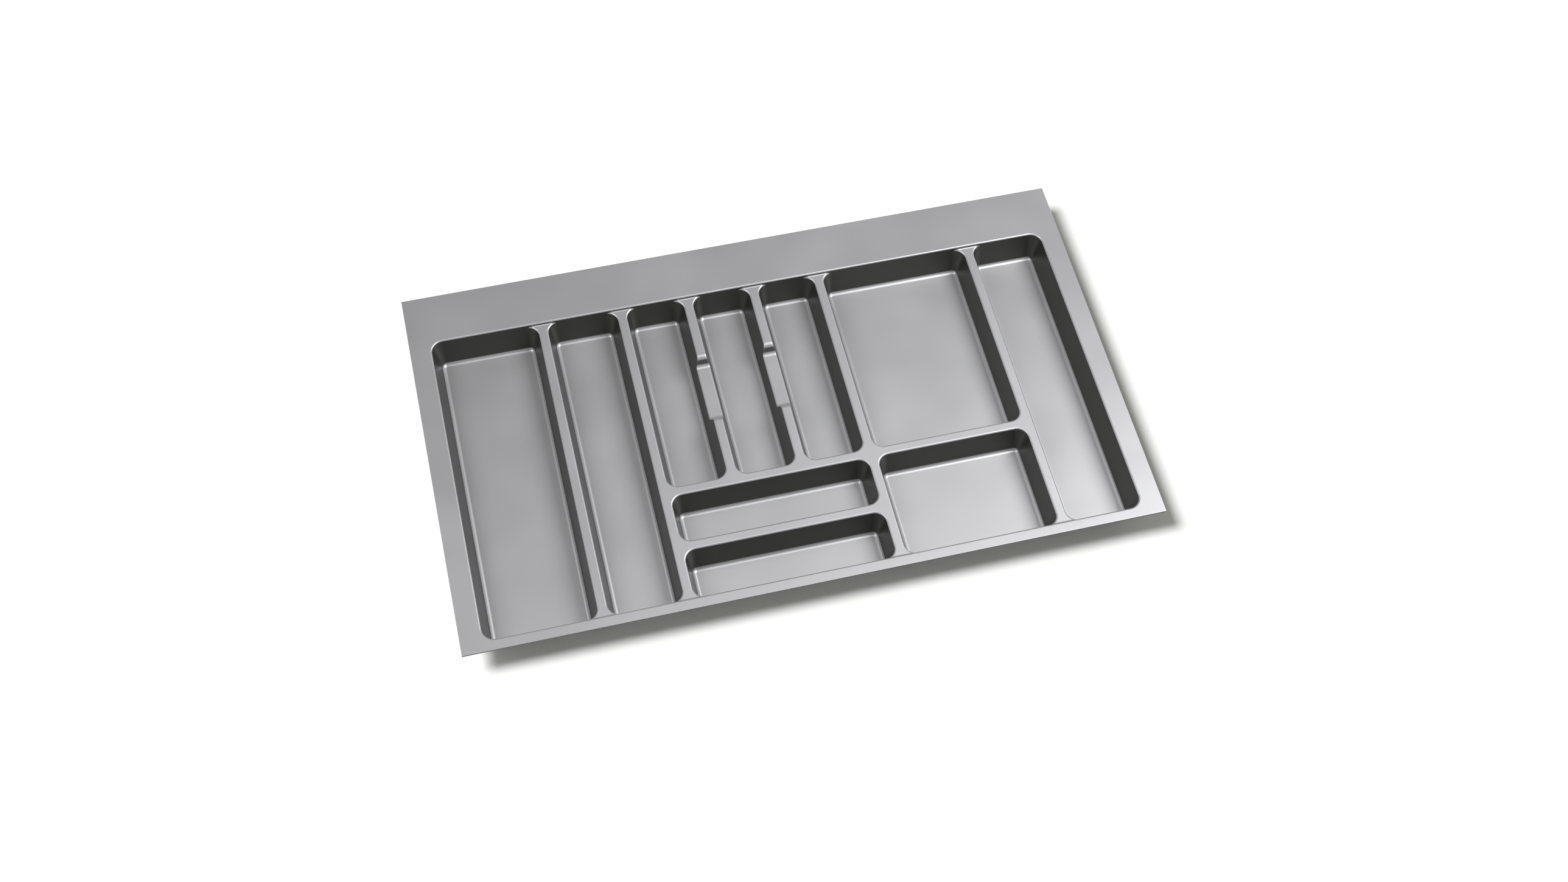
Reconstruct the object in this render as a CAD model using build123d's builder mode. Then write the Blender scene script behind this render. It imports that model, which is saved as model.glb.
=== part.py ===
from build123d import *

# Cutlery tray for a kitchen drawer, vacuum-formed from one sheet of plastic.
# Millimetres, +Z up. The origin is the middle of the footprint, on the plane that the floors rest on.
# The sheet keeps one thickness all over. It is divided into its rims, its hollow divider tops
# and its compartments, which meet each other face to face.

import os
from math import cos, radians, sin, tan

os.makedirs("parts", exist_ok=True)

# Sheet and mould
sheet = 2.0
draft_angle = 13.0
rim_radius = 2.5
edge_radius = 0.8
floor_radius = 6.0
floor_corner_radius = 5.8

# Heights: the floors below the flange, and the divider tops below the flange
compartment_depth = 40.0
well_drop = 3.5

# Plan sizes, all taken on the plane of the divider tops
divider_width = 11.5
side_margin = 27.0
rear_margin = 69.0
front_margin = 14.0
wide_width = 132.0
long_width = 88.0
cutlery_width = 73.0
large_width = 187.5
side_width = 90.5
rear_row_length = 260.0
cross_length = 62.0

# Finger saddles, dips in the two dividers between the cutlery compartments
saddle_depth = 12.5
saddle_length = 77.0
saddle_setback = 95.0
saddle_slope = 25.0
saddle_crest_radius = 3.0
saddle_foot_radius = 4.0

# Sizes that follow from the ones above
lean = tan(radians(draft_angle))
wall = sheet / cos(radians(draft_angle))
tray_height = compartment_depth + sheet
deck = tray_height - well_drop
corner_radius = floor_corner_radius + (deck - sheet) * lean
rim_fillet = min(rim_radius, well_drop, divider_width / 2)
edge_fillet = min(edge_radius, sheet / 2)
floor_fillet = min(floor_radius, floor_corner_radius)
crest_fillet = min(saddle_crest_radius, saddle_depth / 2)
foot_fillet = min(saddle_foot_radius, saddle_depth / 2)

# The divider tops and rims end at a level seam below their rounded edges, where the compartments begin
lip = sheet + rim_fillet
seam = deck - lip


def row_of(start, *sizes):
    """Lays spans side by side from a start, with a divider between each and the next."""
    spans = []
    for size in sizes:
        spans.append((start, start + size))
        start += size + divider_width
    return spans


# Columns of compartments run across the tray, and rows run from its front edge to its rear edge
columns = (wide_width, long_width, cutlery_width, cutlery_width, cutlery_width, large_width, side_width)
rows = (cross_length, cross_length, rear_row_length)
well_width = sum(columns) + divider_width * (len(columns) - 1)
well_length = sum(rows) + divider_width * (len(rows) - 1)
tray_width = well_width + 2 * side_margin
tray_length = well_length + rear_margin + front_margin
tray_x = (-tray_width / 2, tray_width / 2)
tray_y = (-tray_length / 2, tray_length / 2)
wide, long, knives, forks, spoons, large, side = row_of(tray_x[0] + side_margin, *columns)
front_cross, rear_cross, rear_row = row_of(tray_y[0] + front_margin, *rows)
cutlery = (knives[0], spoons[1])
front_rows = (front_cross[0], rear_cross[1])
all_rows = (front_cross[0], rear_row[1])
well = ((wide[0], side[1]), all_rows)

# Each compartment is a column and a row
compartments = {
    "wide_compartment": (wide, all_rows),
    "long_compartment": (long, all_rows),
    "knife_compartment": (knives, rear_row),
    "fork_compartment": (forks, rear_row),
    "spoon_compartment": (spoons, rear_row),
    "large_compartment": (large, rear_row),
    "side_compartment": (side, all_rows),
    "rear_cross_compartment": (cutlery, rear_cross),
    "front_cross_compartment": (cutlery, front_cross),
    "gadget_compartment": (large, front_rows),
}
saddle_columns = (knives, forks)


def cavity(place, top, bottom, grow=0.0, mode=Mode.ADD):
    """Draws a drafted cavity with rounded corners between two heights, or its outside when it grows."""
    (left, right), (front, rear) = place
    spread = (top - deck) * lean + grow
    with BuildSketch(Plane.XY.offset(top)) as mouth:
        with Locations(((left + right) / 2, (front + rear) / 2)):
            RectangleRounded(right - left + 2 * spread, rear - front + 2 * spread, corner_radius + spread)
    extrude(mouth.sketch, amount=bottom - top, taper=draft_angle, mode=mode)


def saddle(column, grow, foot, mode=Mode.ADD):
    """Draws the dip across the divider to the right of a column, pushed outward when it grows."""
    slope = radians(saddle_slope)
    push = grow * (1 / cos(slope) - tan(slope))
    low = deck - saddle_depth - grow
    high = tray_height
    rear = rear_row[1] - saddle_setback + push
    front = rear_row[1] - saddle_setback - saddle_length - push
    run = (high - low) * tan(slope)
    with BuildSketch(Plane.YZ.offset((column[0] + column[1]) / 2)) as dip:
        with BuildLine():
            Polyline((front, low), (rear, low), (rear + run, high), (front - run, high), close=True)
        make_face()
        fillet(dip.vertices().group_by(Axis.Y)[0], foot)
    extrude(dip.sketch, amount=cutlery_width + divider_width, mode=mode)


def block(x_span, y_span, bottom, top, mode=Mode.ADD):
    """Draws a plain block over a patch of the tray between two heights."""
    (left, right), (front, rear) = x_span, y_span
    with Locations(((left + right) / 2, (front + rear) / 2, bottom)):
        Box(right - left, rear - front, top - bottom, align=(Align.CENTER, Align.CENTER, Align.MIN), mode=mode)


def strip(first, second):
    """Gives the span of a divider between two spans, from the corner centres of one to those of the other."""
    return (first[1] - corner_radius, second[0] + corner_radius)


def straight(span):
    """Gives the stretch of a span that lies between its rounded corners."""
    return (span[0] + corner_radius, span[1] - corner_radius)


# Rims and divider tops, each the patch of the upper sheet over two spans
middle = straight(all_rows)
patches = {
    "rear_rim": (tray_x, (middle[1], tray_y[1])),
    "front_rim": (tray_x, (tray_y[0], middle[0])),
    "left_rim": ((tray_x[0], wide[0] + corner_radius), middle),
    "right_rim": ((side[1] - corner_radius, tray_x[1]), middle),
    "wide_long_divider": (strip(wide, long), middle),
    "long_knife_divider": (strip(long, knives), middle),
    "knife_fork_divider": (strip(knives, forks), straight(rear_row)),
    "fork_spoon_divider": (strip(forks, spoons), straight(rear_row)),
    "spoon_large_divider": (strip(spoons, large), middle),
    "large_side_divider": (strip(large, side), middle),
    "cutlery_cross_divider": (straight(cutlery), strip(rear_cross, rear_row)),
    "cross_divider": (straight(cutlery), strip(front_cross, rear_cross)),
    "large_gadget_divider": (straight(large), strip(front_rows, rear_row)),
}

# Mould face of the dividers: flat tops with the saddles sunk in, and rounded edges that follow each dip
with BuildPart() as divider_form:
    block(tray_x, tray_y, sheet, deck)
    for place in compartments.values():
        cavity(place, deck, 0, mode=Mode.SUBTRACT)
    for column in saddle_columns:
        saddle(column, 0, foot_fillet, mode=Mode.SUBTRACT)
        crests = divider_form.edges(Select.LAST).filter_by(Axis.X).group_by(Axis.Z)[-1]
        fillet(crests, crest_fillet)
    wall_rise = (sin(radians(draft_angle)) + sin(radians(saddle_slope))) / 2
    tops = divider_form.faces().filter_by(lambda face: face.normal_at().Z > wall_rise)
    inner_edges = [edge for face in tops for edge in face.edges()]
    outer_edges = tops.sort_by(SortBy.AREA)[-1].outer_wire().edges()
    rims = [edge for edge in inner_edges if inner_edges.count(edge) == 1 and edge not in outer_edges]
    fillet(rims, rim_fillet)

# Mould face of the rims: the flange, its trimmed edge, and the well wall that runs down past the dividers
with BuildPart() as rim_form:
    block(tray_x, tray_y, sheet, tray_height)
    cavity(well, tray_height, 0, mode=Mode.SUBTRACT)
    flange = rim_form.faces().sort_by(Axis.Z)[-1]
    fillet(flange.inner_wires()[0].edges(), rim_fillet)
    fillet(rim_form.faces().sort_by(Axis.Z)[-1].outer_wire().edges(), edge_fillet)

# Mould face of the whole top of the tray
with BuildPart() as mould_form:
    add(divider_form.part)
    add(rim_form.part)

# Upper sheet: what lies within one sheet thickness of the mould face, down to the seam
with BuildPart() as upper_region:
    block(tray_x, tray_y, seam, tray_height)
    for column in saddle_columns:
        saddle(column, lip, foot_fillet + lip)

with BuildPart() as upper_sheet:
    block(tray_x, tray_y, tray_height - sheet, tray_height)
    cavity(well, tray_height, deck - sheet, wall)
    for place in compartments.values():
        cavity(place, deck, 0, wall)
    for column in saddle_columns:
        saddle(column, sheet, foot_fillet + sheet)
    add(mould_form.part, mode=Mode.INTERSECT)
    add(upper_region.part, mode=Mode.INTERSECT)

# Rims and divider tops
for name, (x_span, y_span) in patches.items():
    with BuildPart() as patch:
        add(upper_sheet.part)
        block(x_span, y_span, 0, tray_height, mode=Mode.INTERSECT)
    patch.part.label = name
    export_step(patch.part, f"parts/{name}.step")

# Compartments: open tubs with drafted walls, rounded corners and a rounded floor, notched under the saddles
for name, place in compartments.items():
    with BuildPart() as tub:
        cavity(place, seam, 0, wall)
        fillet(tub.faces().sort_by(Axis.Z)[0].edges(), floor_fillet + sheet)
        cavity(place, seam, sheet, mode=Mode.SUBTRACT)
        fillet(tub.faces().filter_by(Axis.Z).sort_by(Axis.Z)[1].edges(), floor_fillet)
        if place[0] in (knives, forks, spoons):
            for column in saddle_columns:
                saddle(column, lip, foot_fillet + lip, mode=Mode.SUBTRACT)
    tub.part.label = name
    export_step(tub.part, f"parts/{name}.step")
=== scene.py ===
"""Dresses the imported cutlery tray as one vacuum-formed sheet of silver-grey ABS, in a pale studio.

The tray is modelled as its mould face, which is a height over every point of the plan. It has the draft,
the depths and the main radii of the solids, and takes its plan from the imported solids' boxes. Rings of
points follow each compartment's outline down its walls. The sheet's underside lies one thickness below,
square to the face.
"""

import logging
import math
from dataclasses import dataclass, field
from enum import Enum
from typing import Optional

import bpy
import numpy as np
from mathutils import Matrix, Vector
from mathutils.geometry import delaunay_2d_cdt


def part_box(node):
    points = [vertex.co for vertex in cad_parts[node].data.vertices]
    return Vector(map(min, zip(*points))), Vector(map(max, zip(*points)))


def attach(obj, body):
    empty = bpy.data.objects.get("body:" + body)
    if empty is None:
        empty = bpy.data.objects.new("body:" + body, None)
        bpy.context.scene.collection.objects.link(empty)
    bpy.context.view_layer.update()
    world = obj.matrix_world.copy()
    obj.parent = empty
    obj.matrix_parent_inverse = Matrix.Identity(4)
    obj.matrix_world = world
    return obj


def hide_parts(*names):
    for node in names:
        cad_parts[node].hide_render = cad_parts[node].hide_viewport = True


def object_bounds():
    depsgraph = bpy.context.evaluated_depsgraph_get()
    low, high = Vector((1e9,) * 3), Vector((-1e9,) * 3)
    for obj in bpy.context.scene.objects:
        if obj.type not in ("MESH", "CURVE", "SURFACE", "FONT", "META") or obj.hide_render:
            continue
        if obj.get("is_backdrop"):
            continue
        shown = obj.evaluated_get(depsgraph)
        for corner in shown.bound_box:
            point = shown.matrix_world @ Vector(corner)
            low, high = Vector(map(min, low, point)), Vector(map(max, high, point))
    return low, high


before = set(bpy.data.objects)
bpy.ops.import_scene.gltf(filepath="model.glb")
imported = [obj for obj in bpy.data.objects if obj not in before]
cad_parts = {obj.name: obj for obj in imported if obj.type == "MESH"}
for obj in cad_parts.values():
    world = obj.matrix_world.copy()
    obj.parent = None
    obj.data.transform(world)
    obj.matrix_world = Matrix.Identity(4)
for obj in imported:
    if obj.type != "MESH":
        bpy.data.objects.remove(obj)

logging.basicConfig(level=logging.INFO, format="%(levelname)s %(message)s")
log = logging.getLogger("cutlery_tray")

MM = 0.001

# The sides of a compartment that lie beside a finger saddle
SADDLE_SIDES = {
    "knife_compartment": ("right",),
    "fork_compartment": ("left", "right"),
    "spoon_compartment": ("left",),
}

# Sockets of a colour mix, which share their names with those of its other data types
MIX_FACTOR, MIX_FIRST, MIX_SECOND, MIX_RESULT = 0, 6, 7, 2


class Corner(Enum):
    """How a compartment's corner meets what is round it."""

    PLAIN = "both sides alike"
    TEE_FIRST = "a divider runs into the well wall at the arc's first end"
    TEE_LAST = "a divider runs into the well wall at the arc's last end"


def linear(hex_colour: str) -> tuple[float, float, float, float]:
    """Turns an sRGB hex colour into linear light.

    Args:
        hex_colour: six hex digits, with or without a leading hash.

    Returns:
        Red, green, blue and an alpha of 1.
    """
    digits = hex_colour.lstrip("#")
    channels = [int(digits[i : i + 2], 16) / 255 for i in (0, 2, 4)]
    red, green, blue = [c / 12.92 if c <= 0.04045 else ((c + 0.055) / 1.055) ** 2.4 for c in channels]
    return red, green, blue, 1.0


def add_node(
    tree: bpy.types.NodeTree, kind: str, settings: Optional[dict] = None, links: Optional[dict] = None
) -> bpy.types.Node:
    """Adds a node with its settings and its incoming links.

    Args:
        tree: the node tree to add to.
        kind: the node's type name.
        settings: attribute names, or input names or numbers, with their values.
        links: input names or numbers, with the output sockets that feed them.

    Returns:
        The new node.
    """
    node = tree.nodes.new(kind)
    for name, value in (settings or {}).items():
        if isinstance(name, str) and hasattr(node, name):
            setattr(node, name, value)
        else:
            node.inputs[name].default_value = value
    for name, socket in (links or {}).items():
        tree.links.new(socket, node.inputs[name])
    return node


@dataclass(frozen=True)
class Arc:
    """One rounded corner of a profile. Distances and heights are in millimetres, angles in radians.

    The side is 1 where the line turns upwards and -1 where it turns downwards.
    """

    start: float
    end: float
    centre: Vector
    radius: float
    side: float
    first_angle: float
    turn: float

    def stations(self, steps: int) -> list[float]:
        """Gives the distances of evenly turned points along the arc, its ends included.

        Args:
            steps: how many steps the arc is divided into.

        Returns:
            Distances in millimetres.
        """
        angles = [self.first_angle + self.turn * step / steps for step in range(steps + 1)]
        return [self.centre.x + self.radius * math.cos(angle) for angle in angles]


class Profile:
    """A line of straight runs joined by arcs, read as a height over a distance."""

    def __init__(self, points: list[tuple[float, float]], radii: list[float]) -> None:
        """Rounds each inner point of the line.

        Args:
            points: distance and height of each point, in order of distance.
            radii: the radius at each inner point.
        """
        self.points = np.array(points, float)
        self.arcs: list[Arc] = []
        for number, radius in enumerate(radii, start=1):
            before, here, after = (Vector(point) for point in self.points[number - 1 : number + 2])
            into, out = (here - before).normalized(), (after - here).normalized()
            turn = into.angle(out)
            reach = radius * math.tan(turn / 2)
            side = 1.0 if into.x * out.y - into.y * out.x > 0 else -1.0
            start, end = here - into * reach, here + out * reach
            centre = start + Vector((-into.y, into.x)) * side * radius
            first_angle = math.atan2(start.y - centre.y, start.x - centre.x)
            self.arcs.append(Arc(start.x, end.x, centre, radius, side, first_angle, side * turn))

    def height(self, distance: np.ndarray) -> np.ndarray:
        """Reads the height at each distance.

        Args:
            distance: distances in millimetres.

        Returns:
            Heights in millimetres.
        """
        result = np.interp(distance, self.points[:, 0], self.points[:, 1])
        for arc in self.arcs:
            on_arc = (distance > arc.start) & (distance < arc.end)
            rise = np.sqrt(np.maximum(arc.radius**2 - (distance - arc.centre.x) ** 2, 0.0))
            result = np.where(on_arc, arc.centre.y - arc.side * rise, result)
        return result


@dataclass(frozen=True)
class Place:
    """A rectangle in plan, in millimetres, taken on the plane of the divider tops."""

    left: float
    right: float
    front: float
    rear: float

    def distance(self, x: np.ndarray, y: np.ndarray, corner: float) -> np.ndarray:
        """Measures how far points lie outside the rounded outline.

        Args:
            x: places across the tray.
            y: places along the tray.
            corner: the outline's corner radius.

        Returns:
            Distances in millimetres, below zero inside.
        """
        across = np.abs(x - (self.left + self.right) / 2) - ((self.right - self.left) / 2 - corner)
        along = np.abs(y - (self.front + self.rear) / 2) - ((self.rear - self.front) / 2 - corner)
        beyond = np.hypot(np.maximum(across, 0.0), np.maximum(along, 0.0))
        return beyond + np.minimum(np.maximum(across, along), 0.0) - corner


@dataclass(frozen=True)
class Mould:
    """The sizes of the mould and the sheet, in millimetres, and in degrees from upright.

    They are those of the solids, apart from three small radii that are rounder here: the foot of the
    well's wall, and the crest and foot of a saddle's slopes.
    """

    sheet: float = 2.0
    draft_angle: float = 13.0
    rim_radius: float = 2.5
    edge_radius: float = 0.8
    floor_radius: float = 5.8
    floor_corner_radius: float = 5.8
    well_drop: float = 3.5
    foot_radius: float = 2.0
    saddle_depth: float = 12.5
    saddle_length: float = 77.0
    saddle_setback: float = 95.0
    saddle_slope: float = 25.0
    saddle_crest_radius: float = 7.0
    saddle_foot_radius: float = 6.0

    @property
    def lean(self) -> float:
        """How far a wall leans outward for each millimetre of height."""
        return math.tan(math.radians(self.draft_angle))

    @property
    def lip(self) -> float:
        """How far below the divider tops the compartments' solids begin."""
        return self.sheet + self.rim_radius

    @property
    def tub_growth(self) -> float:
        """How far a compartment's solid reaches past its mouth on the plane of the divider tops."""
        return self.sheet / math.cos(math.radians(self.draft_angle)) - self.lip * self.lean


@dataclass
class Compartment:
    """One compartment: its place, what lies along its sides, and the ring of points round its mouth.

    Where a divider runs into the well's wall, the nearest tee_share of the corner has tee_steps steps, and
    the rest has tee_rest_steps. The spacing is in millimetres.
    """

    name: str
    place: Place
    on_well: dict[str, bool]
    saddle_sides: tuple[str, ...] = ()
    arc_steps: int = 12
    tee_share: float = 0.47
    tee_steps: int = 22
    tee_rest_steps: int = 8
    run_spacing: float = 30.0

    def corner_kind(self, before: str, after: str) -> Corner:
        """Tells how the corner between two sides is met.

        Args:
            before: the side that the ring comes from.
            after: the side that the ring goes on along.

        Returns:
            The kind of corner.
        """
        if self.on_well[before] == self.on_well[after]:
            return Corner.PLAIN
        return Corner.TEE_FIRST if self.on_well[before] else Corner.TEE_LAST

    def arc_angles(self, kind: Corner) -> np.ndarray:
        """Divides a quarter turn, finely where a divider runs into the well wall.

        Args:
            kind: how the corner is met.

        Returns:
            Angles from 0 to a quarter turn, in radians.
        """
        if kind is Corner.PLAIN:
            return np.linspace(0.0, math.pi / 2, self.arc_steps + 1)
        fine = np.linspace(0.0, self.tee_share, self.tee_steps + 1)
        coarse = np.linspace(self.tee_share, 1.0, self.tee_rest_steps + 1)[1:]
        shares = np.concatenate([fine, coarse])
        if kind is Corner.TEE_LAST:
            shares = 1.0 - shares[::-1]
        return shares * math.pi / 2

    def ring(self, corner: float, saddle_rows: np.ndarray) -> tuple[np.ndarray, np.ndarray, np.ndarray]:
        """Lays points round the mouth, counter-clockwise from the rear end of the right side.

        Args:
            corner: the mouth's corner radius.
            saddle_rows: places along the tray where a side beside a saddle needs points.

        Returns:
            The points, their outward directions, and which of them lie beside a saddle.
        """
        place = self.place
        turns = (
            ("right", "rear", place.right - corner, place.rear - corner),
            ("rear", "left", place.left + corner, place.rear - corner),
            ("left", "front", place.left + corner, place.front + corner),
            ("front", "right", place.right - corner, place.front + corner),
        )
        points, outward, beside = [], [], []
        for quarter, (before, after, x, y) in enumerate(turns):
            for angle in self.arc_angles(self.corner_kind(before, after)) + quarter * math.pi / 2:
                way = np.array([math.cos(angle), math.sin(angle)])
                points.append(np.array([x, y]) + corner * way)
                outward.append(way)
                beside.append(False)
            _, _, next_x, next_y = turns[(quarter + 1) % len(turns)]
            start, way = points[-1], outward[-1]
            end = np.array([next_x, next_y]) + corner * way
            with_saddle = after in self.saddle_sides
            for share in self.run_shares(start, end, saddle_rows if with_saddle else None):
                points.append(start + (end - start) * share)
                outward.append(way)
                beside.append(with_saddle)
        return np.array(points), np.array(outward), np.array(beside)

    def run_shares(self, start: np.ndarray, end: np.ndarray, rows: Optional[np.ndarray]) -> list[float]:
        """Spaces the points of a straight side, its ends left out.

        Args:
            start: where the side begins.
            end: where the side ends.
            rows: places along the tray that the points keep to, or None.

        Returns:
            Shares of the way along the side, in order.
        """
        if rows is not None:
            return sorted((row - start[1]) / (end[1] - start[1]) for row in rows)
        steps = max(int(np.hypot(*(end - start)) / self.run_spacing), 1)
        return [step / steps for step in range(1, steps)]


@dataclass
class MeshParts:
    """Points, faces and corner normals gathered for one mesh, in millimetres."""

    points: list[np.ndarray] = field(default_factory=list)
    count: int = 0
    faces: list[tuple[int, ...]] = field(default_factory=list)
    normals: list[list] = field(default_factory=list)

    def add_points(self, points: np.ndarray) -> np.ndarray:
        """Adds points.

        Args:
            points: the points.

        Returns:
            Their numbers.
        """
        self.points.append(points)
        numbers = np.arange(self.count, self.count + len(points))
        self.count += len(points)
        return numbers

    def add_face(self, numbers: tuple[int, ...], normals: Optional[list] = None) -> None:
        """Adds a face, with a normal for each corner where the face itself fixes them."""
        self.faces.append(tuple(int(number) for number in numbers))
        self.normals.append(normals)


@dataclass
class FormedTray:
    """The whole tray: one sheet formed over a mould with ten cavities. Lengths are in millimetres."""

    mould: Mould = field(default_factory=Mould)
    rim_steps: int = 6
    foot_steps: int = 6
    wall_steps: int = 3
    floor_steps: int = 8
    saddle_arc_steps: int = 6
    saddle_run_steps: int = 6
    edge_steps: int = 3
    edge_spacing: float = 20.0
    tee_spacing: float = 1.0
    tee_clearance: float = 0.3
    mid_wall_share: float = 0.62
    probe: float = 0.01
    touching: float = 0.01
    offset_decimals: int = 6
    merge_distance: float = 0.00001

    def __post_init__(self) -> None:
        """Reads the plan from the imported solids and works out the profiles."""
        mould = self.mould
        self.low, self.high = (Vector(corner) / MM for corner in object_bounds())
        self.top = self.high.z
        self.deck = self.top - mould.well_drop
        self.corner = mould.floor_corner_radius + (self.deck - mould.sheet) * mould.lean
        mouths = {name: self.mouth(name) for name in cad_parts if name.endswith("_compartment")}
        self.well = Place(
            min(mouth.left for mouth in mouths.values()),
            max(mouth.right for mouth in mouths.values()),
            min(mouth.front for mouth in mouths.values()),
            max(mouth.rear for mouth in mouths.values()),
        )
        self.make_profiles()
        self.compartments = [self.compartment(name, mouth) for name, mouth in sorted(mouths.items())]
        sides = [item.place.right for item in self.compartments if "right" in item.saddle_sides]
        gap = min(mouth.left - side for side in sides for mouth in mouths.values() if mouth.left > side)
        self.saddle_spans = [(side - self.corner, side + gap + self.corner) for side in sides]

    def mouth(self, node: str) -> Place:
        """Reads a compartment's mouth from its solid's box.

        Args:
            node: the node's name.

        Returns:
            The mouth.
        """
        low, high = (Vector(corner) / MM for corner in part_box(node))
        grow = self.mould.tub_growth
        return Place(low.x + grow, high.x - grow, low.y + grow, high.y - grow)

    def compartment(self, name: str, place: Place) -> Compartment:
        """Describes a compartment and what lies along each of its sides.

        Args:
            name: the node's name.
            place: the compartment's mouth.

        Returns:
            The compartment.
        """
        on_well = {}
        for side in ("left", "right", "front", "rear"):
            on_well[side] = abs(getattr(place, side) - getattr(self.well, side)) < self.touching
        return Compartment(name, place, on_well, SADDLE_SIDES.get(name, ()))

    def make_profiles(self) -> None:
        """Works out the heights across a divider's wall, across the well's wall and along a saddle."""
        mould, far = self.mould, self.top
        floor_foot = ((mould.sheet - self.deck) * mould.lean, mould.sheet)
        self.cavity = Profile(
            [(-far, mould.sheet), floor_foot, (0.0, self.deck), (far, self.deck)],
            [mould.floor_radius, mould.rim_radius],
        )
        well_top = (mould.well_drop * mould.lean, self.top)
        self.well_wall = Profile(
            [(-far, self.deck - far / mould.lean), well_top, (far, self.top)],
            [mould.rim_radius],
        )
        self.well_foot = Profile(
            [(-far, self.deck), (0.0, self.deck), well_top, (far, self.top)],
            [mould.foot_radius, mould.rim_radius],
        )
        self.floor_arc, self.rim_arc = self.cavity.arcs
        self.well_foot_arc, self.well_rim_arc = self.well_foot.arcs[0], self.well_wall.arcs[0]
        run = mould.saddle_depth * math.tan(math.radians(mould.saddle_slope))
        rear = self.well.rear - mould.saddle_setback
        front = rear - mould.saddle_length
        low = self.deck - mould.saddle_depth
        slopes = [(front - run, self.deck), (front, low), (rear, low), (rear + run, self.deck)]
        crest, foot = mould.saddle_crest_radius, mould.saddle_foot_radius
        self.saddle = Profile(
            [(front - far, self.deck), *slopes, (rear + far, self.deck)],
            [crest, foot, foot, crest],
        )
        self.mid_wall = floor_foot[0] * self.mid_wall_share

    def divider_top(self, x: np.ndarray, y: np.ndarray) -> np.ndarray:
        """Gives the height of the divider tops, which dips in the saddles.

        Args:
            x: places across the tray, in millimetres.
            y: places along the tray, in millimetres.

        Returns:
            Heights in millimetres.
        """
        result = np.full(np.shape(x), self.deck)
        dip = self.saddle.height(y)
        for left, right in self.saddle_spans:
            result = np.where((x > left) & (x < right), dip, result)
        return result

    def height(self, x: np.ndarray, y: np.ndarray) -> np.ndarray:
        """Gives the mould face's height over the plan.

        A cavity's wall meets the divider tops, which are lower in a saddle, and the well's wall rises
        above them. The foot of the well's wall is rounded only where a divider's flat top runs into it.

        Args:
            x: places across the tray, in millimetres.
            y: places along the tray, in millimetres.

        Returns:
            Heights in millimetres.
        """
        nearest = np.full(np.shape(x), np.inf)
        for compartment in self.compartments:
            nearest = np.minimum(nearest, compartment.place.distance(x, y, self.corner))
        dip = self.divider_top(x, y) - self.deck
        lowered = self.cavity.height(nearest - dip * self.mould.lean) + dip
        cavities = np.where(nearest > self.mid_wall, lowered, self.cavity.height(nearest))
        reach = self.well.distance(x, y, self.corner)
        well = self.well_wall.height(reach)
        foot = self.well_foot.height(reach) - np.maximum(well, self.deck)
        return np.maximum(cavities, well) + foot * np.clip(nearest / self.rim_arc.end, 0.0, 1.0)

    def face_normals(self, x: np.ndarray, y: np.ndarray) -> np.ndarray:
        """Works out the face's upward normals from its slope.

        Args:
            x: places across the tray, in millimetres.
            y: places along the tray, in millimetres.

        Returns:
            Normals of length 1.
        """
        step = self.probe
        slope_x = (self.height(x + step, y) - self.height(x - step, y)) / (2 * step)
        slope_y = (self.height(x, y + step) - self.height(x, y - step)) / (2 * step)
        normals = np.stack([-slope_x, -slope_y, np.ones_like(slope_x)], axis=1)
        return normals / np.linalg.norm(normals, axis=1)[:, None]

    def ring_offsets(self, on_well: bool) -> list[float]:
        """Lists how far each ring lies outside the mouth, from the outermost ring to the floor.

        Args:
            on_well: whether the compartment touches the well wall, whose rim lies further out.

        Returns:
            Offsets in millimetres, falling.
        """
        offsets = self.rim_arc.stations(self.rim_steps) + self.floor_arc.stations(self.floor_steps)
        wall = np.linspace(self.floor_arc.end, offsets[0], self.wall_steps + 2)
        offsets += list(wall[1:-1])
        offsets += self.well_rim_arc.stations(self.rim_steps) if on_well else [self.outermost]
        return sorted({round(offset, self.offset_decimals) for offset in offsets}, reverse=True)

    @property
    def outermost(self) -> float:
        """How far the outermost ring lies outside the mouth."""
        return self.well_rim_arc.end

    def saddle_rows(self) -> np.ndarray:
        """Lists the places along the tray where a saddle's height turns or runs.

        Returns:
            The places, in rising order.
        """
        arcs, rows = self.saddle.arcs, []
        for arc in arcs:
            rows += arc.stations(self.saddle_arc_steps)
        for arc, following in zip(arcs, arcs[1:]):
            rows += list(np.linspace(arc.end, following.start, self.saddle_run_steps + 1)[1:-1])
        return np.array(sorted(rows))

    def add_compartment(self, mesh: MeshParts, compartment: Compartment, rows: np.ndarray) -> np.ndarray:
        """Adds a compartment's rim, walls and floor.

        Beside a saddle, the rings between the rim and the middle of the wall keep to the lowered rim.

        Args:
            mesh: the mesh that is being gathered.
            compartment: the compartment.
            rows: places along the tray where a side beside a saddle needs points.

        Returns:
            The numbers of the outermost ring's points.
        """
        points, outward, beside = compartment.ring(self.corner, rows)
        shift = np.where(beside, self.saddle.height(points[:, 1]) - self.deck, 0.0) * self.mould.lean
        offsets = self.ring_offsets(any(compartment.on_well.values()))
        wall_top = self.rim_arc.start
        rings = []
        for offset in offsets:
            follow = np.clip((offset - self.mid_wall) / (wall_top - self.mid_wall), 0.0, 1.0)
            place = points + outward * (offset + shift * follow)[:, None]
            heights = self.height(place[:, 0], place[:, 1])
            rings.append(mesh.add_points(np.column_stack([place, heights])))
        for outer, inner in zip(rings, rings[1:]):
            for here in range(len(outer)):
                after = (here + 1) % len(outer)
                mesh.add_face((outer[here], outer[after], inner[after], inner[here]))
        mesh.add_face(tuple(rings[-1]))
        return rings[0]

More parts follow.
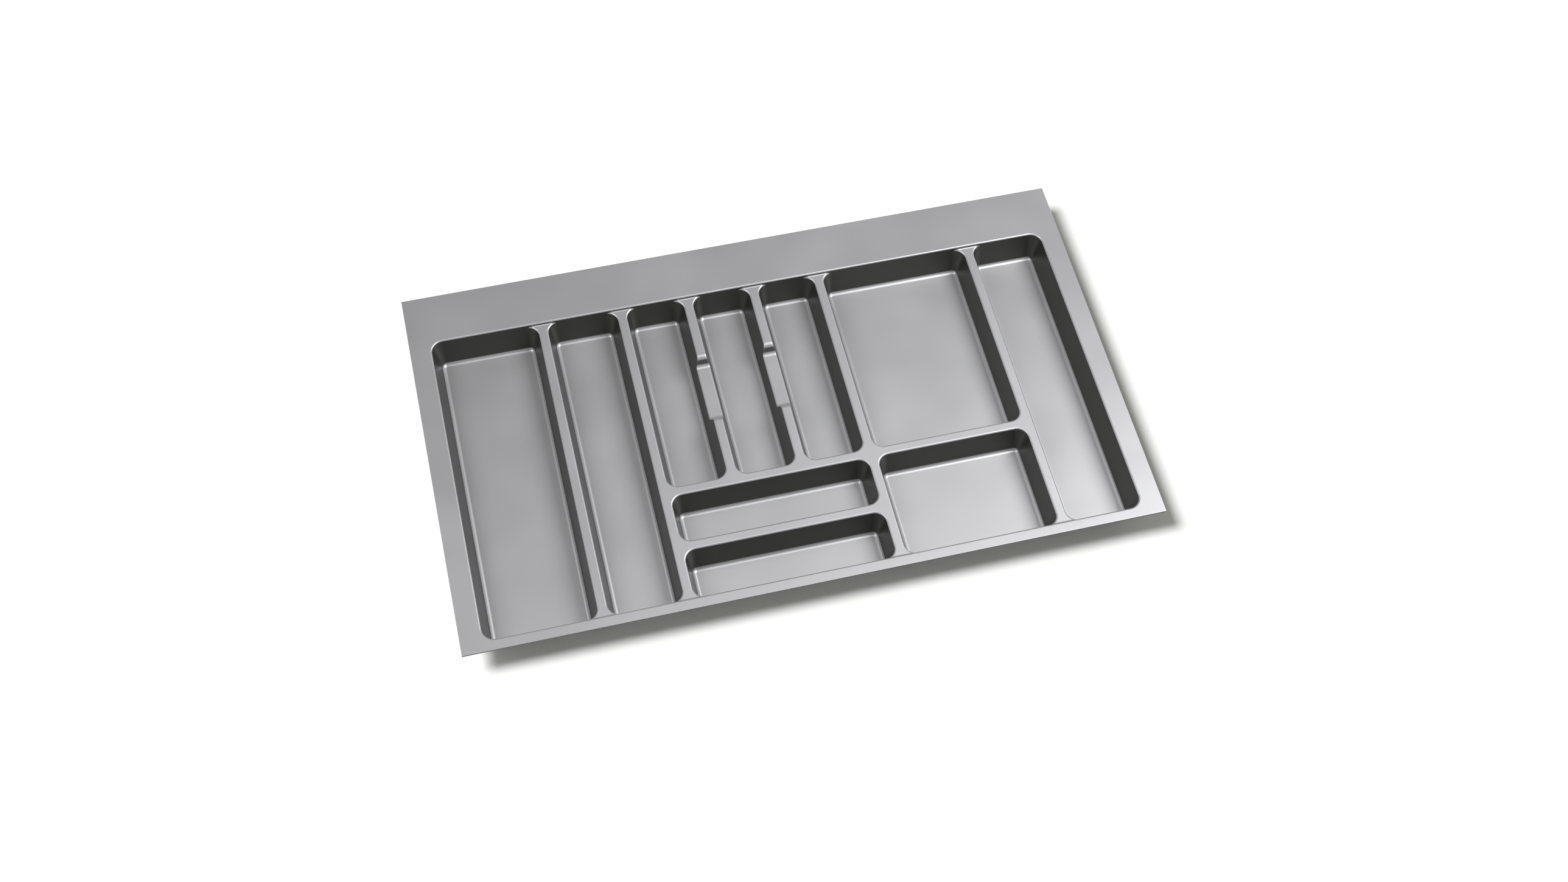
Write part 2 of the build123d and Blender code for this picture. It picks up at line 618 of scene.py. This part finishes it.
    def tee_points(self) -> np.ndarray:
        """Lays points over the ends of the dividers, in lines along the well's wall.

        Returns:
            The points in plan.
        """
        stations = self.well_foot_arc.stations(self.foot_steps)[:-1]
        stations += self.well_rim_arc.stations(self.rim_steps)
        result = []
        for side, sign in (("rear", 1.0), ("front", -1.0)):
            row = [item.place for item in self.compartments if item.on_well[side]]
            row.sort(key=lambda place: place.left)
            for first, second in zip(row, row[1:]):
                start, end = first.right - self.corner, second.left + self.corner
                across = np.linspace(start, end, int((end - start) / self.tee_spacing) + 1)
                for station in stations:
                    along = np.full_like(across, getattr(self.well, side) + sign * station)
                    clear = np.full(np.shape(across), np.inf)
                    for place in (first, second):
                        clear = np.minimum(clear, place.distance(across, along, self.corner))
                    keep = clear > self.outermost + self.tee_clearance
                    result.append(np.column_stack([across, along])[keep])
        return np.vstack(result)

    def edge_counts(self) -> list[int]:
        """Counts the points along each side of the edge, from the front side on, counter-clockwise.

        Returns:
            One count for each side.
        """
        width, length = self.high.x - self.low.x, self.high.y - self.low.y
        return [int(width / self.edge_spacing), int(length / self.edge_spacing)] * 2

    def outline(self, inset: float, height: float) -> np.ndarray:
        """Lays points round the tray's trimmed edge, counter-clockwise from the front left.

        Args:
            inset: how far inside the edge the points lie.
            height: the height of the points.

        Returns:
            The points.
        """
        left, right = self.low.x + inset, self.high.x - inset
        front, rear = self.low.y + inset, self.high.y - inset
        corners = np.array([(left, front), (right, front), (right, rear), (left, rear)])
        points = []
        for start, end, steps in zip(corners, np.roll(corners, -1, axis=0), self.edge_counts()):
            points += [start + (end - start) * step / steps for step in range(steps)]
        return np.column_stack([np.array(points), np.full(len(points), height)])

    def add_flats(self, mesh: MeshParts, rings: list[np.ndarray], edge: np.ndarray) -> None:
        """Fills the flange and the divider tops between the outermost rings and the tray's edge.

        Triangles that lie in a compartment's mouth are left out.

        Args:
            mesh: the mesh that is being gathered.
            rings: the numbers of the outermost rings' points.
            edge: the numbers of the edge's points.
        """
        tees = self.tee_points()
        heights = self.height(tees[:, 0], tees[:, 1])
        tee_numbers = mesh.add_points(np.column_stack([tees, heights]))
        loops = rings + [edge]
        numbers = np.concatenate(loops + [tee_numbers])
        plan = np.vstack(mesh.points)[:, :2]
        edges, start = [], 0
        for loop in loops:
            edges += [(start + i, start + (i + 1) % len(loop)) for i in range(len(loop))]
            start += len(loop)
        points = [Vector(place) for place in plan[numbers]]
        found, _, triangles, origins, _, _ = delaunay_2d_cdt(points, edges, [], 0, self.merge_distance)
        if len(found) != len(points):
            log.info("flats: %d points became %d", len(points), len(found))
        where = [numbers[origin[0]] for origin in origins]
        corners = np.array([[where[i] for i in triangle] for triangle in triangles])
        ring_of = {int(number): index for index, ring in enumerate(rings) for number in ring}
        for triangle in corners:
            owners = {ring_of.get(int(number)) for number in triangle}
            owner = owners.pop() if len(owners) == 1 else None
            if owner is not None and self.inside_ring(plan[rings[owner]], plan[triangle].mean(axis=0)):
                continue
            mesh.add_face(tuple(triangle))

    @staticmethod
    def inside_ring(ring: np.ndarray, centre: np.ndarray) -> bool:
        """Tells whether a point lies inside a ring.

        Args:
            ring: the ring's points in plan.
            centre: the point in plan.

        Returns:
            True if it lies inside.
        """
        following = np.roll(ring, -1, axis=0)
        spans = (ring[:, 1] > centre[1]) != (following[:, 1] > centre[1])
        rise = np.where(spans, following[:, 1] - ring[:, 1], 1.0)
        crossing = ring[:, 0] + (centre[1] - ring[:, 1]) / rise * (following[:, 0] - ring[:, 0])
        return bool(np.count_nonzero(spans & (centre[0] < crossing)) % 2)

    def add_edge(self, mesh: MeshParts, top_loop: np.ndarray, bottom_loop: np.ndarray) -> None:
        """Adds the flange's trimmed edge, rounded above and sharp below.

        Args:
            mesh: the mesh that is being gathered.
            top_loop: the numbers of the edge's points on the face.
            bottom_loop: the numbers of the same points on the underside.
        """
        mould = self.mould
        loops, tilts = [top_loop], [0.0]
        for step in range(1, self.edge_steps + 1):
            tilt = math.pi / 2 * step / self.edge_steps
            inset = mould.edge_radius * (1 - math.sin(tilt))
            drop = mould.edge_radius * (1 - math.cos(tilt))
            loops.append(mesh.add_points(self.outline(inset, self.top - drop)))
            tilts.append(tilt)
        loops.append(mesh.add_points(self.outline(0.0, self.top - mould.sheet)))
        tilts.append(math.pi / 2)
        outward = [(0, -1), (1, 0), (0, 1), (-1, 0)]
        ways = [way for way, count in zip(outward, self.edge_counts()) for _ in range(count)]
        for outer, inner, tilt_in, tilt_out in zip(loops[1:], loops, tilts, tilts[1:]):
            for here, (x, y) in enumerate(ways):
                after = (here + 1) % len(ways)
                upper = (x * math.sin(tilt_in), y * math.sin(tilt_in), math.cos(tilt_in))
                lower = (x * math.sin(tilt_out), y * math.sin(tilt_out), math.cos(tilt_out))
                corners = (inner[here], outer[here], outer[after], inner[after])
                mesh.add_face(corners, [upper, lower, lower, upper])
        down = (0.0, 0.0, -1.0)
        for here in range(len(ways)):
            after = (here + 1) % len(ways)
            corners = (loops[-1][here], bottom_loop[here], bottom_loop[after], loops[-1][after])
            mesh.add_face(corners, [down] * len(corners))

    def build(self) -> bpy.types.Object:
        """Builds the tray's mesh.

        Returns:
            The tray.
        """
        mesh = MeshParts()
        rows = self.saddle_rows()
        rings = [self.add_compartment(mesh, compartment, rows) for compartment in self.compartments]
        edge = mesh.add_points(self.outline(self.mould.edge_radius, self.top))
        self.add_flats(mesh, rings, edge)
        face = np.vstack(mesh.points)
        normals = self.face_normals(face[:, 0], face[:, 1])
        face_count, upper_faces = len(face), list(mesh.faces)
        mesh.normals = [[normals[number] for number in numbers] for numbers in upper_faces]
        mesh.add_points(face - normals * self.mould.sheet)
        for numbers in upper_faces:
            turned = tuple(reversed(numbers))
            under = tuple(number + face_count for number in turned)
            mesh.add_face(under, [-normals[number] for number in turned])
        self.add_edge(mesh, edge, edge + face_count)
        data = bpy.data.meshes.new("formed_sheet")
        data.from_pydata((np.vstack(mesh.points) * MM).tolist(), [], mesh.faces)
        data.shade_smooth()
        corner_normals = [tuple(map(float, normal)) for corners in mesh.normals for normal in corners]
        data.normals_split_custom_set(corner_normals)
        data.validate()
        tray = bpy.data.objects.new("formed_sheet", data)
        bpy.context.scene.collection.objects.link(tray)
        return tray

    def dress(self, tray: bpy.types.Object) -> None:
        """Gives the tray its finish and lets it stand for the solids.

        Args:
            tray: the tray.
        """
        tray.data.materials.append(SilverAbs().build())
        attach(tray, "root")
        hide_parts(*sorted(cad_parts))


@dataclass(frozen=True)
class SilverAbs:
    """Vacuum-formed ABS sheet with aluminium-flake pigment: grey, silky, with soft wide reflections.

    The walls carry painted shade: where the face stands steep, the silver is mixed towards a dark grey
    that stands in for the shade falling on them. The floors stay thick, and uneven cooling leaves them
    very slightly wavy. The flakes and the grain are made coarser than real ones, which are too fine to
    show.
    """

    colour: str = "#B9B9BB"
    flake_colour: str = "#C8C8CA"
    # Painted shade: the dark grey given to steep walls in place of their shade, and the steepness over
    # which it fades in
    wall_shade_colour: str = "#525350"
    wall_shade_from_rise: float = 0.6
    wall_shade_to_rise: float = 0.4
    metallic: float = 0.65
    roughness: float = 0.42
    roughness_sway: float = 0.03
    flake_mm: float = 0.18
    flake_detail: float = 1.0
    grain_mm: float = 0.35
    grain_detail: float = 2.0
    grain_height_mm: float = 0.02
    grain_strength: float = 0.12
    wave_mm: float = 90.0
    wave_detail: float = 1.0
    wave_height_mm: float = 0.6
    wave_strength: float = 1.0
    wave_range: tuple[float, float] = (0.3, 0.7)

    def build(self) -> bpy.types.Material:
        """Makes the material.

        Returns:
            The material.
        """
        material = bpy.data.materials.new("vacuum_formed_silver_abs")
        material.use_nodes = True
        tree = material.node_tree
        tree.nodes.clear()
        place = add_node(tree, "ShaderNodeTexCoord").outputs
        flakes = add_node(
            tree, "ShaderNodeTexNoise", {"Scale": 1 / (self.flake_mm * MM), "Detail": self.flake_detail},
            {"Vector": place["Object"]},
        )
        grain = add_node(
            tree, "ShaderNodeTexNoise", {"Scale": 1 / (self.grain_mm * MM), "Detail": self.grain_detail},
            {"Vector": place["Object"]},
        )
        waves = add_node(
            tree, "ShaderNodeTexNoise", {"Scale": 1 / (self.wave_mm * MM), "Detail": self.wave_detail},
            {"Vector": place["Object"]},
        )
        tint = add_node(
            tree, "ShaderNodeMix",
            {"data_type": "RGBA", MIX_FIRST: linear(self.colour), MIX_SECOND: linear(self.flake_colour)},
            {MIX_FACTOR: flakes.outputs["Fac"]},
        )
        swell = add_node(
            tree, "ShaderNodeBump",
            {"Strength": self.wave_strength, "Distance": self.wave_height_mm * MM},
            {"Height": waves.outputs["Fac"]},
        )
        bump = add_node(
            tree, "ShaderNodeBump",
            {"Strength": self.grain_strength, "Distance": self.grain_height_mm * MM},
            {"Height": grain.outputs["Fac"], "Normal": swell.outputs["Normal"]},
        )
        wave_low, wave_high = self.wave_range
        shine = add_node(
            tree, "ShaderNodeMapRange",
            {"From Min": wave_low, "From Max": wave_high, "To Min": self.roughness - self.roughness_sway,
             "To Max": self.roughness + self.roughness_sway},
            {"Value": waves.outputs["Fac"]},
        )
        facing = add_node(tree, "ShaderNodeSeparateXYZ", links={"Vector": place["Normal"]})
        rise = add_node(tree, "ShaderNodeMath", {"operation": "ABSOLUTE"}, {0: facing.outputs["Z"]})
        # Painted shade: faces are darkened by how steep they stand, so the walls take the dark grey in
        # place of the shade that falls on them
        wall_shade_mask = add_node(
            tree, "ShaderNodeMapRange",
            {"From Min": self.wall_shade_from_rise, "From Max": self.wall_shade_to_rise},
            {"Value": rise.outputs["Value"]},
        )
        tone = add_node(
            tree, "ShaderNodeMix", {"data_type": "RGBA", MIX_SECOND: linear(self.wall_shade_colour)},
            {MIX_FACTOR: wall_shade_mask.outputs["Result"], MIX_FIRST: tint.outputs[MIX_RESULT]},
        )
        shader = add_node(
            tree, "ShaderNodeBsdfPrincipled", {"Metallic": self.metallic},
            {"Base Color": tone.outputs[MIX_RESULT], "Roughness": shine.outputs["Result"],
             "Normal": bump.outputs["Normal"]},
        )
        add_node(tree, "ShaderNodeOutputMaterial", links={"Surface": shader.outputs["BSDF"]})
        return material


@dataclass(frozen=True)
class PaperFloor:
    """Matt white paper sweep under the tray, which shows pure white and keeps the tray's shadow."""

    colour: str = "#F4F4F4"

    def build(self) -> bpy.types.Material:
        """Makes the material.

        Returns:
            The material.
        """
        material = bpy.data.materials.new("white_paper_sweep")
        material.use_nodes = True
        tree = material.node_tree
        tree.nodes.clear()
        paper = add_node(tree, "ShaderNodeBsdfDiffuse", {"Color": linear(self.colour)})
        add_node(tree, "ShaderNodeOutputMaterial", links={"Surface": paper.outputs["BSDF"]})
        return material


@dataclass(frozen=True)
class PhotoCamera:
    """The camera at the photograph's viewing angle. Lengths are in millimetres, angles in degrees."""

    place: tuple[float, float, float] = (-328.9, -1119.4, 1984.2)
    elevation: float = 60.13
    azimuth: float = 17.08
    roll: float = 3.909
    focal_pixels: float = 3059.3
    image_width: int = 2576
    sensor_width: float = 36.0

    def build(self) -> bpy.types.Object:
        """Makes the camera and sets it as the scene's own.

        Returns:
            The camera.
        """
        data = bpy.data.cameras.new("photo_camera")
        data.sensor_width = self.sensor_width
        data.lens = self.sensor_width * self.focal_pixels / self.image_width
        camera = bpy.data.objects.new("photo_camera", data)
        pitch = math.radians(90 - self.elevation)
        turn = Matrix.Rotation(math.radians(-self.azimuth), 4, "Z")
        tilt = Matrix.Rotation(pitch, 4, "X")
        lean = Matrix.Rotation(math.radians(self.roll), 4, "Z")
        camera.matrix_world = Matrix.Translation(Vector(self.place) * MM) @ turn @ tilt @ lean
        bpy.context.scene.collection.objects.link(camera)
        bpy.context.scene.camera = camera
        return camera


@dataclass(frozen=True)
class SoftBox:
    """A square soft lamp that faces the tray. Lengths are in metres, angles in degrees.

    The azimuth turns from the tray's right side towards its rear.
    """

    name: str
    azimuth: float
    elevation: float
    distance: float
    size: float
    watts: float

    def build(self) -> bpy.types.Object:
        """Makes the lamp.

        Returns:
            The lamp.
        """
        data = bpy.data.lights.new(self.name, "AREA")
        data.shape = "SQUARE"
        data.size = self.size
        data.energy = self.watts
        azimuth, elevation = math.radians(self.azimuth), math.radians(self.elevation)
        level = math.cos(elevation)
        way = Vector((level * math.cos(azimuth), level * math.sin(azimuth), math.sin(elevation)))
        lamp = bpy.data.objects.new(self.name, data)
        lamp.location = way * self.distance
        lamp.rotation_euler = (-way).to_track_quat("-Z", "Y").to_euler()
        bpy.context.scene.collection.objects.link(lamp)
        return lamp


@dataclass(frozen=True)
class SweepLamp:
    """A far soft lamp for the paper, on which the tray throws its shadow."""

    name: str
    travel: tuple[float, float, float]
    spread_degrees: float
    strength: float
    colour: str = "#FFFFFF"

    def build(self) -> bpy.types.Object:
        """Makes the lamp.

        Returns:
            The lamp.
        """
        data = bpy.data.lights.new(self.name, "SUN")
        data.angle = math.radians(self.spread_degrees)
        data.energy = self.strength
        data.color = linear(self.colour)[:3]
        lamp = bpy.data.objects.new(self.name, data)
        lamp.rotation_euler = Vector(self.travel).to_track_quat("-Z", "Y").to_euler()
        bpy.context.scene.collection.objects.link(lamp)
        return lamp


SOFT_BOXES = (
    SoftBox("left_softbox", azimuth=180, elevation=54, distance=3.5, size=1.5, watts=39.5),
    SoftBox("right_softbox", azimuth=0, elevation=54, distance=3.5, size=1.5, watts=72.0),
    SoftBox("right_high_softbox", azimuth=0, elevation=72, distance=3.5, size=1.5, watts=7.3),
    SoftBox("front_right_softbox", azimuth=324, elevation=54, distance=1.9, size=0.8, watts=5.0),
    SoftBox("overhead_softbox", azimuth=0, elevation=90, distance=1.9, size=0.8, watts=1.8),
    SoftBox("rear_high_softbox", azimuth=60, elevation=72, distance=1.9, size=0.8, watts=1.2),
)
SWEEP_LAMPS = (
    SweepLamp("sweep_lamp", travel=(0.66, -0.15, -1.0), spread_degrees=20.0, strength=3.35),
    SweepLamp("sweep_fill", travel=(0.0, 0.0, -1.0), spread_degrees=150.0, strength=0.5, colour="#FBFFEA"),
)


@dataclass
class Studio:
    """The white paper floor, the soft lamps, the surroundings and the camera. Lengths are in metres."""

    floor_half: float = 150.0
    horizon: str = "#AAAAAA"
    zenith: str = "#3F3F3F"

    def build(self, tray: bpy.types.Object) -> None:
        """Makes the whole studio.

        Args:
            tray: the tray, which the soft boxes are kept to.
        """
        floor = self.build_floor()
        for box in SOFT_BOXES:
            self.light_only(box.build(), tray)
        for lamp in SWEEP_LAMPS:
            self.light_only(lamp.build(), floor)
        self.build_world()
        PhotoCamera().build()
        bpy.context.scene.view_settings.view_transform = "Standard"

    def build_floor(self) -> bpy.types.Object:
        """Lays the paper floor.

        Returns:
            The floor.
        """
        half = self.floor_half
        data = bpy.data.meshes.new("paper_sweep")
        corners = [(-half, -half, 0), (half, -half, 0), (half, half, 0), (-half, half, 0)]
        data.from_pydata(corners, [], [tuple(range(len(corners)))])
        floor = bpy.data.objects.new("paper_sweep", data)
        floor.data.materials.append(PaperFloor().build())
        bpy.context.scene.collection.objects.link(floor)
        floor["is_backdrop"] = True
        return floor

    @staticmethod
    def light_only(lamp: bpy.types.Object, lit: bpy.types.Object) -> None:
        """Keeps a lamp's light to one object.

        Args:
            lamp: the lamp.
            lit: the object that it lights.
        """
        receivers = bpy.data.collections.new(f"{lamp.name}_lights")
        receivers.objects.link(lit)
        lamp.light_linking.receiver_collection = receivers

    def build_world(self) -> None:
        """Makes the surroundings: pale walls all round, and a dim ceiling."""
        world = bpy.data.worlds.new("studio")
        bpy.context.scene.world = world
        world.use_nodes = True
        tree = world.node_tree
        tree.nodes.clear()
        way = add_node(tree, "ShaderNodeTexCoord").outputs["Generated"]
        rise = add_node(tree, "ShaderNodeSeparateXYZ", links={"Vector": way}).outputs["Z"]
        tint = add_node(
            tree, "ShaderNodeMix",
            {"data_type": "RGBA", MIX_FIRST: linear(self.horizon), MIX_SECOND: linear(self.zenith)},
            {MIX_FACTOR: rise},
        )
        room = add_node(tree, "ShaderNodeBackground", links={"Color": tint.outputs[MIX_RESULT]})
        add_node(tree, "ShaderNodeOutputWorld", links={"Surface": room.outputs["Background"]})


def main() -> None:
    """Builds the tray and the studio, and reports each piece."""
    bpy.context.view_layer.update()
    maker = FormedTray()
    tray = maker.build()
    maker.dress(tray)
    log.info("%s: %d points, %d faces", tray.name, len(tray.data.vertices), len(tray.data.polygons))
    log.info("%s: stands for %d solids", tray.name, len(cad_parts))
    Studio().build(tray)
    log.info("studio: %d soft boxes, %d sweep lamps", len(SOFT_BOXES), len(SWEEP_LAMPS))


if __name__ == "__main__":
    main()
